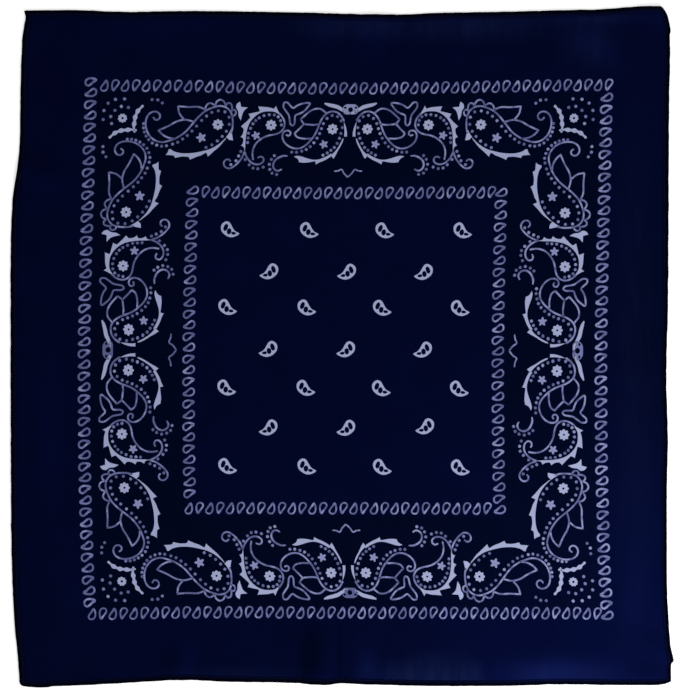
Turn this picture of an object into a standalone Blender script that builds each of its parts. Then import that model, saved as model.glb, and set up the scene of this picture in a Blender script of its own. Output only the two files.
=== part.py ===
"""A cotton bandana lying flat: one square panel and its four narrow turned hems.

Metres, +Z up. The cloth rests on z = 0 with its lengthwise grain along Y, and the origin
is at the middle of its underside. The tables hold millimetres.
"""

import math

import bmesh
import bpy
from mathutils import Vector

MM = 0.001

# Driving dimensions of the finished square.
CLOTH_WIDTH = 549.0 * MM
CLOTH_LENGTH = 565.0 * MM
CLOTH_WALL = 1.0 * MM
HEM_WIDTH = 4.4 * MM
HEM_THICKNESS = 1.9 * MM
SEAM_GAP = 0.3 * MM

HALF_WIDTH = CLOTH_WIDTH / 2
HALF_LENGTH = CLOTH_LENGTH / 2

# How far each finished edge lies outside (+) or inside (-) the true rectangle.
# Columns: place along the side from its middle (mm), outwards (mm).
LEFT_EDGE = (
    (-282.5, -4.0),
    (-262.0, -2.8),
    (-230.0, 0.2),
    (-196.0, 2.0),
    (-146.0, 3.1),
    (5.0, 3.6),
    (72.0, 3.6),
    (106.0, 2.9),
    (123.0, 2.0),
    (156.0, -2.7),
    (174.0, -4.2),
    (224.0, -4.9),
    (257.0, -6.2),
    (282.5, -9.0),
)
RIGHT_EDGE = (
    (-282.5, 2.3),
    (-268.0, 2.4),
    (-261.0, 3.7),
    (-247.0, 1.5),
    (-230.0, 0.2),
    (-196.0, -1.2),
    (-129.0, -1.3),
    (-79.0, -0.4),
    (-28.0, -1.7),
    (39.0, -0.2),
    (207.0, 0.7),
    (240.0, 1.5),
    (282.5, 1.6),
)
TOP_EDGE = (
    (-274.5, 0.0),
    (-236.0, 0.3),
    (-186.0, -1.2),
    (-135.0, -0.5),
    (-34.0, -1.8),
    (8.0, -3.0),
    (50.0, -3.4),
    (83.0, -2.0),
    (134.0, -1.2),
    (184.0, 0.1),
    (218.0, 0.8),
    (260.0, 3.6),
    (274.5, 3.7),
)
BOTTOM_EDGE = (
    (-274.5, 2.8),
    (-258.0, 3.7),
    (-236.0, 2.5),
    (-186.0, 0.0),
    (-135.0, -2.5),
    (-102.0, -1.1),
    (-51.0, -0.3),
    (-18.0, 1.6),
    (-1.0, 0.3),
    (16.0, 1.1),
    (83.0, 2.6),
    (134.0, 2.4),
    (184.0, 1.1),
    (234.0, 1.8),
    (274.5, 1.3),
)

# How far each corner is rounded off.
# Columns: side of X, side of Y, radius (mm).
CORNERS = (
    (-1, 1, 1.5),
    (1, 1, 7.0),
    (1, -1, 3.5),
    (-1, -1, 4.0),
)

# Soft folds that lift the cloth off the surface, the largest ones only.
# Columns: name, middle x and y (mm), heading (degrees from +X), half length, half width
# and height (mm).
FOLDS = (
    ("centre_fold_foot_left", -18.0, -274.0, 90.0, 46.0, 17.0, 1.5),
    ("centre_fold_foot_right", 19.0, -274.0, 90.0, 50.0, 20.0, 1.9),
    ("centre_fold_head_left", -14.0, 270.0, 90.0, 34.0, 16.0, 0.9),
    ("centre_fold_head_right", 28.0, 268.0, 90.0, 36.0, 26.0, 1.6),
    ("right_margin_swell", 246.0, -4.0, 90.0, 245.0, 22.0, 1.7),
    ("right_low_swell", 244.0, -200.0, 84.0, 52.0, 20.0, 1.5),
    ("bottom_margin_swell", 168.0, -268.0, 2.0, 105.0, 20.0, 2.1),
    ("right_edge_pucker", 262.0, -258.0, 160.0, 40.0, 14.0, 1.6),
    ("top_right_swell", 212.0, 254.0, -38.0, 52.0, 20.0, 1.9),
    ("top_right_curl", 268.0, 276.0, 135.0, 30.0, 20.0, 1.5),
    ("top_left_swell", -160.0, 268.0, 2.0, 90.0, 18.0, 1.0),
    ("left_edge_pucker", -254.0, 140.0, -24.0, 44.0, 16.0, 1.7),
    ("left_margin_swell", -246.0, -70.0, 90.0, 130.0, 20.0, 1.1),
    ("left_low_swell", -228.0, -206.0, 82.0, 44.0, 16.0, 1.0),
    ("bottom_left_tuck", -134.0, -266.0, 78.0, 36.0, 17.0, 1.7),
)

# Where the panel's mesh has its lines: close where the folds lie, wide elsewhere.
# Columns: from and to, as shares of the panel's side, and cells between them.
LINES_ACROSS = (
    (0.00, 0.12, 7),
    (0.12, 0.42, 7),
    (0.42, 0.60, 10),
    (0.60, 0.88, 7),
    (0.88, 1.00, 7),
)
LINES_ALONG = (
    (0.00, 0.12, 8),
    (0.12, 0.68, 12),
    (0.68, 0.80, 6),
    (0.80, 0.88, 3),
    (0.88, 1.00, 7),
)

# A turned hem's section: flat below, rolled at its outer edge, sloping to the panel.
# Columns: outwards as a share of the hem's width, up as a share of its thickness.
HEM_SECTION = (
    (0.00, 0.00),
    (0.84, 0.00),
    (1.00, 0.30),
    (1.00, 0.68),
    (0.82, 1.00),
    (0.30, 1.00),
    (0.00, 0.62),
)

NAVY = (0.010, 0.017, 0.085, 1.0)
NAVY_HEM = (0.006, 0.010, 0.050, 1.0)


def read_table(table, place):
    """The table's value at a place, on a smooth curve through its rows."""
    places = [row[0] * MM for row in table]
    values = [row[1] * MM for row in table]
    last = len(table) - 2
    row = 0
    while row < last and place > places[row + 1]:
        row += 1
    span = places[row + 1] - places[row]
    share = min(max((place - places[row]) / span, 0.0), 1.0)
    before = slope_at(places, values, row) * span
    after = slope_at(places, values, row + 1) * span
    step = values[row + 1] - values[row]
    bend = share * (1 - share) * ((1 - share) * (before - step) - share * (after - step))
    return values[row] + share * step + bend


def slope_at(places, values, row):
    """The slope of the curve at a row: level at its ends and at every turn."""
    if row == 0 or row == len(places) - 1:
        return 0.0
    rise_before = (values[row] - values[row - 1]) / (places[row] - places[row - 1])
    rise_after = (values[row + 1] - values[row]) / (places[row + 1] - places[row])
    if rise_before * rise_after <= 0:
        return 0.0
    return 2 * rise_before * rise_after / (rise_before + rise_after)


def round_corner(x, y):
    """Moves a point of the square corner region onto its rounded form."""
    for side_x, side_y, radius_mm in CORNERS:
        radius = radius_mm * MM
        along_x = (side_x * x - HALF_WIDTH + radius) / radius
        along_y = (side_y * y - HALF_LENGTH + radius) / radius
        if along_x <= 0 or along_y <= 0:
            continue
        round_x = along_x * math.sqrt(1 - along_y * along_y / 2)
        round_y = along_y * math.sqrt(1 - along_x * along_x / 2)
        x = side_x * (HALF_WIDTH - radius + radius * round_x)
        y = side_y * (HALF_LENGTH - radius + radius * round_y)
    return x, y


def lie(x, y):
    """Where a point of the true rectangle lies once the cloth is put down."""
    x, y = round_corner(x, y)
    to_right = (x + HALF_WIDTH) / CLOTH_WIDTH
    to_top = (y + HALF_LENGTH) / CLOTH_LENGTH
    push_x = to_right * read_table(RIGHT_EDGE, y) - (1 - to_right) * read_table(LEFT_EDGE, y)
    push_y = to_top * read_table(TOP_EDGE, x) - (1 - to_top) * read_table(BOTTOM_EDGE, x)
    return x + push_x, y + push_y


def swell(distance):
    """1 at the middle of a fold, falling smoothly to 0 at a distance of 1."""
    return 0.5 + 0.5 * math.cos(math.pi * min(abs(distance), 1.0))


def lift(x, y):
    """How high the folds hold the cloth above the surface."""
    height = 0.0
    for _, middle_x, middle_y, heading, half_length, half_width, rise in FOLDS:
        turn = math.radians(heading)
        east = x / MM - middle_x
        north = y / MM - middle_y
        along = east * math.cos(turn) + north * math.sin(turn)
        across = north * math.cos(turn) - east * math.sin(turn)
        height += rise * swell(along / half_length) * swell(across / half_width)
    return height * MM


def place(x, y, up):
    """A point of the cloth, up above its underside."""
    world_x, world_y = lie(x, y)
    return Vector((world_x, world_y, lift(world_x, world_y) + up))


def mesh_lines(table, low, high):
    """The places of the mesh's lines between two sides."""
    shares = [0.0]
    for start, end, cells in table:
        for cell in range(1, cells + 1):
            shares.append(start + (end - start) * cell / cells)
    return [low + (high - low) * share for share in shares]


def make_material(name, colour):
    material = bpy.data.materials.new(name)
    material.use_nodes = True
    shader = material.node_tree.nodes["Principled BSDF"]
    shader.inputs["Base Color"].default_value = colour
    shader.inputs["Roughness"].default_value = 0.9
    shader.inputs["Metallic"].default_value = 0.0
    return material


def finish_object(name, shape, material):
    """Turns a bmesh into a named object with its faces pointing out."""
    bmesh.ops.recalc_face_normals(shape, faces=shape.faces)
    mesh = bpy.data.meshes.new(name)
    shape.to_mesh(mesh)
    shape.free()
    mesh.materials.append(material)
    mesh.shade_smooth()
    mesh.set_sharp_from_angle(angle=math.radians(40))
    made = bpy.data.objects.new(name, mesh)
    bpy.context.scene.collection.objects.link(made)
    return made


def make_panel(lines_x, lines_y, material):
    """The square between the hems: a sheet on its underside, thickened upwards."""
    shape = bmesh.new()
    grid = [[shape.verts.new(place(x, y, 0.0)) for x in lines_x] for y in lines_y]
    for row, next_row in zip(grid, grid[1:]):
        for column in range(len(row) - 1):
            corners = (
                row[column],
                row[column + 1],
                next_row[column + 1],
                next_row[column],
            )
            shape.faces.new(corners)
    grown = bmesh.ops.extrude_face_region(shape, geom=shape.faces[:], use_keep_orig=True)
    upper = [piece for piece in grown["geom"] if isinstance(piece, bmesh.types.BMVert)]
    bmesh.ops.translate(shape, verts=upper, vec=(0.0, 0.0, CLOTH_WALL))
    return finish_object("panel", shape, material)


def make_hem(name, edge_points, outwards, material):
    """A hem through points on the cloth's outer edge; outwards is a direction in plan."""
    shape = bmesh.new()
    rings = []
    for edge in edge_points:
        ring = []
        for out_share, up_share in HEM_SECTION:
            flat = Vector(edge) - Vector(outwards) * HEM_WIDTH * (1 - out_share)
            ring.append(shape.verts.new(place(flat.x, flat.y, up_share * HEM_THICKNESS)))
        rings.append(ring)
    sides = len(HEM_SECTION)
    for ring, next_ring in zip(rings, rings[1:]):
        for side in range(sides):
            beside = (side + 1) % sides
            shape.faces.new((ring[side], ring[beside], next_ring[beside], next_ring[side]))
    shape.faces.new(rings[0])
    shape.faces.new(rings[-1])
    return finish_object(name, shape, material)


def make_hems(lines_x, lines_y, material):
    """The upper and lower hems run corner to corner, and the side hems fit between them."""
    full_x = [-HALF_WIDTH, *lines_x, HALF_WIDTH]
    for name, side in (("hem_top", 1), ("hem_bottom", -1)):
        make_hem(name, [(x, side * HALF_LENGTH) for x in full_x], (0, side), material)
    for name, side in (("hem_left", -1), ("hem_right", 1)):
        make_hem(name, [(side * HALF_WIDTH, y) for y in lines_y], (side, 0), material)


def make_bandana():
    inset = HEM_WIDTH + SEAM_GAP
    lines_x = mesh_lines(LINES_ACROSS, inset - HALF_WIDTH, HALF_WIDTH - inset)
    lines_y = mesh_lines(LINES_ALONG, inset - HALF_LENGTH, HALF_LENGTH - inset)
    make_panel(lines_x, lines_y, make_material("navy_cotton", NAVY))
    make_hems(lines_x, lines_y, make_material("navy_hem", NAVY_HEM))


for old in list(bpy.data.objects):
    bpy.data.objects.remove(old)

make_bandana()
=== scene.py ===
"""The looks of a printed cotton bandana lying flat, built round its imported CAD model.

Metres, +Z up. The cloth's folds are the CAD model's own, and its outline follows the CAD
model's with finer rows and sharper corners. The print's chart is in squares of
CHART_SQUARE: one half of one side, one half of one corner, one drop and one small paisley,
all repeated by loops.
"""

import math
from dataclasses import dataclass

import bmesh
import bpy
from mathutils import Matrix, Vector, geometry, noise
from mathutils.bvhtree import BVHTree

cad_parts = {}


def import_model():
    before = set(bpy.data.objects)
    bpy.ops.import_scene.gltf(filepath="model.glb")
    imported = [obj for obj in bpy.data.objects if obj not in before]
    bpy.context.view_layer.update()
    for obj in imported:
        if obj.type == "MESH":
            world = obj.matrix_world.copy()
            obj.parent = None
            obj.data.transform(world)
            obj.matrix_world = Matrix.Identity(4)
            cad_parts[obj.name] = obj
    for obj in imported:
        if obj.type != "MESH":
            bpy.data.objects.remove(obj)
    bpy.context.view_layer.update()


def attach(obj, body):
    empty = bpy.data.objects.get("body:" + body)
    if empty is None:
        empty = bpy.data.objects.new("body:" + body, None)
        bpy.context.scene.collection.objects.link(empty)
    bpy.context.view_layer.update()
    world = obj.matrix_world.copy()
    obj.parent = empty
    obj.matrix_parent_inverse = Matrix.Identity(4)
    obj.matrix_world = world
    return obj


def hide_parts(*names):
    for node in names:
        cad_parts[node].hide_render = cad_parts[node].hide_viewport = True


MM = 0.001

# ---------------------------------------------------------------------------
# The cloth's form. The tables hold millimetres.
# ---------------------------------------------------------------------------

CLOTH_WIDTH = 549.0 * MM
CLOTH_LENGTH = 565.0 * MM
HALF_WIDTH = CLOTH_WIDTH / 2
HALF_LENGTH = CLOTH_LENGTH / 2
HEM_WIDTH = 4.4 * MM

# How far each finished edge lies outside (+) or inside (-) the true rectangle.
# Columns: place along the side from its middle, outwards.
LEFT_EDGE = (
    (-282.5, -4.0), (-262.0, -2.8), (-230.0, 0.2), (-196.0, 2.0), (-146.0, 3.1), (5.0, 3.6),
    (72.0, 3.6), (106.0, 2.9), (123.0, 2.0), (156.0, -2.7), (174.0, -4.2), (224.0, -4.9),
    (257.0, -6.2), (270.5, -7.9), (277.0, -9.1), (282.5, -7.9),
)
RIGHT_EDGE = (
    (-282.5, 2.3), (-272.0, 2.2), (-267.2, 2.5), (-264.8, 4.5), (-258.5, 3.1), (-251.0, 1.7),
    (-230.0, 0.2), (-196.0, -1.2), (-129.0, -1.3), (-79.0, -0.4), (-28.0, -1.7), (39.0, -0.2),
    (207.0, 0.7), (240.0, 1.5), (257.6, 1.2), (261.7, 1.9), (267.2, 0.8), (275.5, -1.2),
    (282.5, -4.7),
)
TOP_EDGE = (
    (-274.5, 0.0), (-236.0, 0.3), (-186.0, -1.2), (-135.0, -0.5), (-34.0, -1.8), (8.0, -3.0),
    (50.0, -3.4), (83.0, -2.0), (134.0, -1.2), (184.0, 0.1), (218.0, 0.8), (260.0, 3.6),
    (274.5, 3.7),
)
BOTTOM_EDGE = (
    (-274.5, 2.8), (-262.0, 3.6), (-251.5, 3.7), (-246.5, 2.8), (-236.0, 2.4), (-220.0, 1.8),
    (-186.0, 0.0), (-135.0, -2.5), (-102.0, -1.1), (-51.0, -0.3), (-18.0, 1.6), (-1.0, 0.3),
    (16.0, 1.1), (83.0, 2.6), (134.0, 2.4), (184.0, 1.1), (234.0, 1.8), (260.0, 1.8),
    (268.0, 1.0), (274.5, -0.8),
)

# How far each corner is rounded off. Columns: side of X, side of Y, radius.
CORNERS = ((-1, 1, 1.0), (1, 1, 3.0), (1, -1, 1.2), (-1, -1, 4.0))

# The largest soft folds. Columns: middle x and y, heading (degrees from +X), half length,
# half width and height.
FOLDS = (
    # Beside the centre crease, at the foot and at the head.
    (-18.0, -274.0, 90.0, 46.0, 17.0, 1.5),
    (19.0, -274.0, 90.0, 50.0, 20.0, 1.9),
    (-14.0, 270.0, 90.0, 34.0, 16.0, 0.9),
    (28.0, 268.0, 90.0, 36.0, 26.0, 1.6),
    # Along the right and lower margins.
    (246.0, -4.0, 90.0, 245.0, 22.0, 1.7),
    (244.0, -200.0, 84.0, 52.0, 20.0, 1.5),
    (168.0, -268.0, 2.0, 105.0, 20.0, 2.1),
    (262.0, -258.0, 160.0, 40.0, 14.0, 1.6),
    # Along the upper margin.
    (212.0, 254.0, -38.0, 52.0, 20.0, 1.9),
    (268.0, 276.0, 135.0, 30.0, 20.0, 1.5),
    (-160.0, 268.0, 2.0, 90.0, 18.0, 1.0),
    # Along the left margin, and by the lower left corner.
    (-254.0, 140.0, -24.0, 44.0, 16.0, 1.7),
    (-246.0, -70.0, 90.0, 130.0, 20.0, 1.1),
    (-228.0, -206.0, 82.0, 44.0, 16.0, 1.0),
    (-134.0, -266.0, 78.0, 36.0, 17.0, 1.7),
)

# Finer creases, each a soft trough (-) or ridge (+) pressed into the cloth. Columns as
# for the folds.
CREASES = (
    # The centre crease, at the foot and at the head.
    (-2.4, -262.0, 90.0, 40.0, 2.7, -1.10),
    (-2.1, -226.0, 90.0, 52.0, 3.6, -0.20),
    (3.2, 270.0, 89.0, 17.0, 2.2, -0.55),
    # Pleats along the foot.
    (13.5, -272.0, 88.0, 13.0, 3.2, 0.80),
    (27.0, -275.0, 93.0, 9.0, 2.6, -0.40),
    (40.0, -270.0, 90.0, 15.0, 3.4, 0.90),
    (47.5, -274.0, 87.0, 10.0, 2.6, 0.60),
    (96.0, -273.0, 96.0, 12.0, 4.4, 0.34),
    (131.0, -272.0, 84.0, 16.0, 5.0, 0.40),
    (-31.0, -274.0, 97.0, 11.0, 3.6, 0.36),
    (-88.0, -272.0, 80.0, 15.0, 4.0, 0.30),
    (-170.0, -270.0, 99.0, 17.0, 5.0, 0.34),
    # Pleats along the head.
    (22.0, 268.0, 92.0, 12.0, 3.4, 0.36),
    (61.0, 267.0, 85.0, 14.0, 4.2, 0.30),
    (-52.0, 268.0, 95.0, 12.0, 4.0, 0.24),
    (-118.0, 269.0, 88.0, 15.0, 5.0, 0.28),
    (148.0, 266.0, 78.0, 18.0, 5.0, 0.34),
    (236.0, 262.0, 62.0, 22.0, 5.4, 0.42),
    # Pleats along the right side.
    (262.0, 203.0, 8.0, 14.0, 4.6, 0.30),
    (263.0, 121.0, -6.0, 12.0, 4.0, 0.26),
    (261.0, 37.0, 5.0, 16.0, 5.2, 0.34),
    (262.0, -66.0, -9.0, 13.0, 4.2, 0.28),
    (259.0, -148.0, 11.0, 18.0, 5.6, 0.38),
    (258.0, -231.0, -18.0, 20.0, 5.0, 0.46),
    # Pleats along the left side.
    (-258.0, 212.0, -4.0, 12.0, 4.4, 0.26),
    (-262.0, 118.0, 14.0, 19.0, 4.8, 0.42),
    (-265.0, 31.0, -8.0, 13.0, 4.2, 0.26),
    (-264.0, -52.0, 6.0, 15.0, 4.8, 0.30),
    (-262.0, -136.0, -12.0, 14.0, 4.2, 0.28),
    (-252.0, -213.0, 17.0, 22.0, 5.4, 0.36),
    # Long slanting ones.
    (-236.0, -176.0, 58.0, 46.0, 8.0, 0.30),
    (236.0, 92.0, 101.0, 80.0, 9.0, 0.26),
    (96.0, -250.0, 14.0, 60.0, 8.0, 0.30),
)

# Painted highlight (+) or painted shade (-) on the navy, beyond what its folds give. Columns
# as for the folds, with how much in place of the height.
HIGHLIGHT_AND_SHADE_PATCHES = (
    # Along the foot, left of the centre crease.
    (-24.0, -262.0, 90.0, 44.0, 20.0, -1.2),
    (-141.0, -262.0, 90.0, 26.0, 16.0, -0.6),
    # In the lower right.
    (178.0, -274.0, 0.0, 46.0, 18.0, 1.4),
    (262.0, -266.0, 90.0, 40.0, 34.0, -0.7),
    # In the right and left margins.
    (249.0, 4.0, 90.0, 200.0, 27.0, -1.2),
    (-256.0, 150.0, 90.0, 30.0, 24.0, -0.5),
)

# Painted highlight where gathers by the hems catch the light and look paler (+).
# Columns the same.
GATHER_HIGHLIGHTS = (
    # Along the foot.
    (22.0, -270.0, 90.0, 20.0, 12.0, 0.04),
    (80.0, -277.0, 0.0, 76.0, 19.0, 0.19),
    (84.0, -262.0, 0.0, 40.0, 10.0, 0.06),
    (128.0, -272.0, 90.0, 20.0, 16.0, -0.08),
    (174.0, -277.0, 0.0, 48.0, 17.0, 0.12),
    (184.0, -263.0, 90.0, 14.0, 20.0, 0.02),
    (216.0, -276.0, 0.0, 26.0, 14.0, 0.08),
    (-90.0, -274.0, 1.0, 80.0, 8.0, 0.05),
    # Along the head.
    (12.0, 270.0, 0.0, 76.0, 17.0, 0.10),
    (112.0, 270.0, 1.0, 90.0, 20.0, 0.11),
    (208.0, 256.0, 84.0, 36.0, 34.0, 0.07),
    (214.0, 277.0, 2.0, 56.0, 9.0, 0.10),
    # In the right margin.
    (246.0, -10.0, 90.0, 300.0, 28.0, 0.05),
)

# Even, shallow unevenness of washed cotton. Columns: wave length, height, seed.
RIPPLES = ((95.0, 0.42, 11.3), (38.0, 0.16, 4.7), (15.0, 0.045, 8.1))

# Sizes that only the visual model has.
CLOTH_GAP = 0.14 * MM  # the cloth's underside above the surface, where it is flattest
LEAST_GAP = 0.02 * MM
CLOTH_THICKNESS = 0.42 * MM
CLOTH_INSET = 0.86 * HEM_WIDTH  # the shell's edge, hidden in the hems
CLOTH_CELL = 3.6 * MM
FINE_CELL = 1.0 * MM  # across the centre crease
FINE_REACH = 7.0 * MM
FOLD_REACH = 1.5  # a fold is level beyond this many of its half length and half width


def read_table(table, place):
    """The table's value at a place, on a smooth curve through its rows."""
    places = [row[0] * MM for row in table]
    values = [row[1] * MM for row in table]
    last = len(table) - 2
    row = 0
    while row < last and place > places[row + 1]:
        row += 1
    span = places[row + 1] - places[row]
    share = min(max((place - places[row]) / span, 0.0), 1.0)
    before = slope_at(places, values, row) * span
    after = slope_at(places, values, row + 1) * span
    step = values[row + 1] - values[row]
    bend = share * (1 - share) * ((1 - share) * (before - step) - share * (after - step))
    return values[row] + share * step + bend


def slope_at(places, values, row):
    """The slope of the curve at a row: level at its ends and at every turn."""
    if row == 0 or row == len(places) - 1:
        return 0.0
    rise_before = (values[row] - values[row - 1]) / (places[row] - places[row - 1])
    rise_after = (values[row + 1] - values[row]) / (places[row + 1] - places[row])
    if rise_before * rise_after <= 0:
        return 0.0
    return 2 * rise_before * rise_after / (rise_before + rise_after)


def round_corner(x, y):
    """Moves a point of the square corner region onto its rounded form."""
    for side_x, side_y, radius_mm in CORNERS:
        radius = radius_mm * MM
        along_x = (side_x * x - HALF_WIDTH + radius) / radius
        along_y = (side_y * y - HALF_LENGTH + radius) / radius
        if along_x <= 0 or along_y <= 0:
            continue
        round_x = along_x * math.sqrt(1 - along_y * along_y / 2)
        round_y = along_y * math.sqrt(1 - along_x * along_x / 2)
        x = side_x * (HALF_WIDTH - radius + radius * round_x)
        y = side_y * (HALF_LENGTH - radius + radius * round_y)
    return x, y


def lie(x, y):
    """Where a point of the true rectangle lies once the cloth is put down."""
    x, y = round_corner(x, y)
    to_right = (x + HALF_WIDTH) / CLOTH_WIDTH
    to_top = (y + HALF_LENGTH) / CLOTH_LENGTH
    push_x = to_right * read_table(RIGHT_EDGE, y) - (1 - to_right) * read_table(LEFT_EDGE, y)
    push_y = to_top * read_table(TOP_EDGE, x) - (1 - to_top) * read_table(BOTTOM_EDGE, x)
    return x + push_x, y + push_y


def swell(distance):
    """1 at the middle of a fold, falling smoothly to 0 at a distance of 1."""
    return 0.5 + 0.5 * math.cos(math.pi * min(abs(distance), 1.0))


def relief(table, x, y):
    """The height of a table's folds over one place of the surface, in metres."""
    height = 0.0
    for middle_x, middle_y, heading, half_length, half_width, rise in table:
        east = x / MM - middle_x
        north = y / MM - middle_y
        if abs(east) + abs(north) > FOLD_REACH * (half_length + half_width):
            continue
        turn = math.radians(heading)
        along = east * math.cos(turn) + north * math.sin(turn)
        across = north * math.cos(turn) - east * math.sin(turn)
        height += rise * swell(along / half_length) * swell(across / half_width)
    return height * MM


def ripple(x, y):
    """The cloth's slight unevenness, never below 0."""
    height = 0.0
    for wave_length, rise, seed in RIPPLES:
        place = Vector((x / MM / wave_length, y / MM / wave_length, seed))
        height += rise * (0.5 + 0.5 * noise.noise(place))
    return height * MM


def underside(x, y):
    """The height of the cloth's underside over a place on the surface."""
    height = CLOTH_GAP + relief(FOLDS, x, y) + relief(CREASES, x, y) + ripple(x, y)
    return max(height, LEAST_GAP)


# ---------------------------------------------------------------------------
# Materials. Colours are linear.
# ---------------------------------------------------------------------------

NAVY_DEEP = (0.0001, 0.0011, 0.0104, 1.0)
# the lighter end, reached by mottling and by painted light to the lower right and on folds
NAVY_BRIGHT = (0.0018, 0.0043, 0.0460, 1.0)
# painted shade on the hem's outer edge and ends
NAVY_EDGE_SHADE = (0.0002, 0.0004, 0.0020, 1.0)
# painted highlight on gathers by the hems
NAVY_GATHER_HIGHLIGHT = (0.016, 0.028, 0.115, 1.0)
NAVY_PRINTED = (0.0004, 0.0014, 0.0040, 1.0)  # the printed border's ground tends to this
PRINTED_SHARE = 0.43
# The white print, from where its ink is thinnest to where it is thickest.
PRINT_TINTS = (
    ("white_print_pale", (0.088, 0.101, 0.238, 1.0)),
    ("white_print_fine", (0.140, 0.157, 0.337, 1.0)),
    ("white_print_full", (0.212, 0.233, 0.432, 1.0)),
    ("white_print_soft", (0.306, 0.340, 0.528, 1.0)),
    ("white_print_solid", (0.325, 0.362, 0.566, 1.0)),
)
PRINT_SHADOW = (0.014, 0.018, 0.062, 1.0)
THREAD_NAVY = (0.0012, 0.0022, 0.0130, 1.0)
COTTON_SHEEN = (0.12, 0.22, 0.75, 1.0)
THREAD_SHEEN = (0.3, 0.35, 0.8, 1.0)
FLOOR_WHITE = (0.90, 0.90, 0.90, 1.0)
FLOOR_LIGHT = (0.93, 0.93, 0.93, 1.0)
FLOOR_GLOW = 0.42

THREAD_SPACING = 0.42 * MM
WEAVE_DEPTH = 0.05 * MM
NOISE_ROUGHNESS = 0.55
SHEEN_ROUGHNESS = 0.45
BRIGHTENING_OFFSET = 0.01  # taken from the mottling and painted light
GATHER_CONTRAST = 2.0
FUZZ_SHARE = 0.5  # of the weave's height
INK_ROUGHNESS = 0.72  # where the ink is smoothest
INK_ROUGHER = 0.24  # added where it is roughest
PLY_TWIST = 9000.0  # radians a metre
# How noise is drawn out: its frequency along X, Y and Z.
EVEN = (1.0, 1.0, 1.0)
STREAKS_ACROSS = (0.6, 9.0, 1.0)
STREAKS_ALONG = (9.0, 0.6, 1.0)
GATHERED = (2.6, 0.4, 1.0)


def add_node(tree, kind, **settings):
    made = tree.nodes.new(kind)
    for name, value in settings.items():
        setattr(made, name, value)
    return made


def feed(tree, socket, value):
    """Gives a socket its value: a number, a colour or another node's output."""
    if isinstance(value, (int, float, tuple)):
        socket.default_value = value
    else:
        tree.links.new(value, socket)


def calculate(tree, operation, *values, clamp=False):
    """A maths node's result; each value is a socket or a number."""
    made = add_node(tree, "ShaderNodeMath", operation=operation, use_clamp=clamp)
    for socket, value in zip(made.inputs, values):
        feed(tree, socket, value)
    return made.outputs[0]


def object_places(tree):
    """Sockets for the place on the object: the vector, its X and its Y, in metres."""
    places = add_node(tree, "ShaderNodeTexCoord").outputs["Object"]
    split = add_node(tree, "ShaderNodeSeparateXYZ")
    tree.links.new(places, split.inputs[0])
    return places, split.outputs["X"], split.outputs["Y"]


def add_noise(tree, places, scale, detail, stretch=EVEN):
    """A noise texture's value over the cloth, drawn out along one grain if wanted."""
    mapping = add_node(tree, "ShaderNodeMapping")
    mapping.inputs["Scale"].default_value = stretch
    tree.links.new(places, mapping.inputs["Vector"])
    made = add_node(tree, "ShaderNodeTexNoise")
    made.inputs["Scale"].default_value = scale
    made.inputs["Detail"].default_value = detail
    made.inputs["Roughness"].default_value = NOISE_ROUGHNESS
    tree.links.new(mapping.outputs[0], made.inputs["Vector"])
    return made.outputs[0]


def weave_height(tree, x, y):
    """A plain weave's height from 0 to 1: warp and weft take turns on top."""
    turn = math.pi / THREAD_SPACING
    wave_x = calculate(tree, "SINE", calculate(tree, "MULTIPLY", x, turn))
    wave_y = calculate(tree, "SINE", calculate(tree, "MULTIPLY", y, turn))
    turns = calculate(tree, "MULTIPLY", wave_x, wave_y)
    warp_up = calculate(tree, "MULTIPLY_ADD", turns, 0.5, 0.5)
    weft_up = calculate(tree, "SUBTRACT", 1.0, warp_up)
    warp = calculate(tree, "MULTIPLY", calculate(tree, "ABSOLUTE", wave_x), warp_up)
    weft = calculate(tree, "MULTIPLY", calculate(tree, "ABSOLUTE", wave_y), weft_up)
    return calculate(tree, "MAXIMUM", warp, weft)


def add_bump(tree, shader, height, strength, distance):
    """Lets a height bend the light on the shader's surface."""
    bump = add_node(tree, "ShaderNodeBump")
    bump.inputs["Strength"].default_value = strength
    bump.inputs["Distance"].default_value = distance
    tree.links.new(height, bump.inputs["Height"])
    tree.links.new(bump.outputs["Normal"], shader.inputs["Normal"])


def mix_colours(tree, share, first, second):
    """A colour between two; each is a socket or four numbers."""
    mix = add_node(tree, "ShaderNodeMix", data_type="RGBA")
    for place, value in ((0, share), (6, first), (7, second)):
        feed(tree, mix.inputs[place], value)
    return mix.outputs[2]


def start_material(name):
    material = bpy.data.materials.new(name)
    material.use_nodes = True
    tree = material.node_tree
    return material, tree, tree.nodes["Principled BSDF"]


def soften(shader, roughness, specular, sheen, sheen_tint):
    """Cotton's matt finish, set on the shader's own sockets."""
    shader.inputs["Roughness"].default_value = roughness
    shader.inputs["Specular IOR Level"].default_value = specular
    shader.inputs["Sheen Weight"].default_value = sheen
    shader.inputs["Sheen Roughness"].default_value = SHEEN_ROUGHNESS
    shader.inputs["Sheen Tint"].default_value = sheen_tint


def read_attribute(tree, name):
    return add_node(tree, "ShaderNodeAttribute", attribute_name=name).outputs["Fac"]


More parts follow.
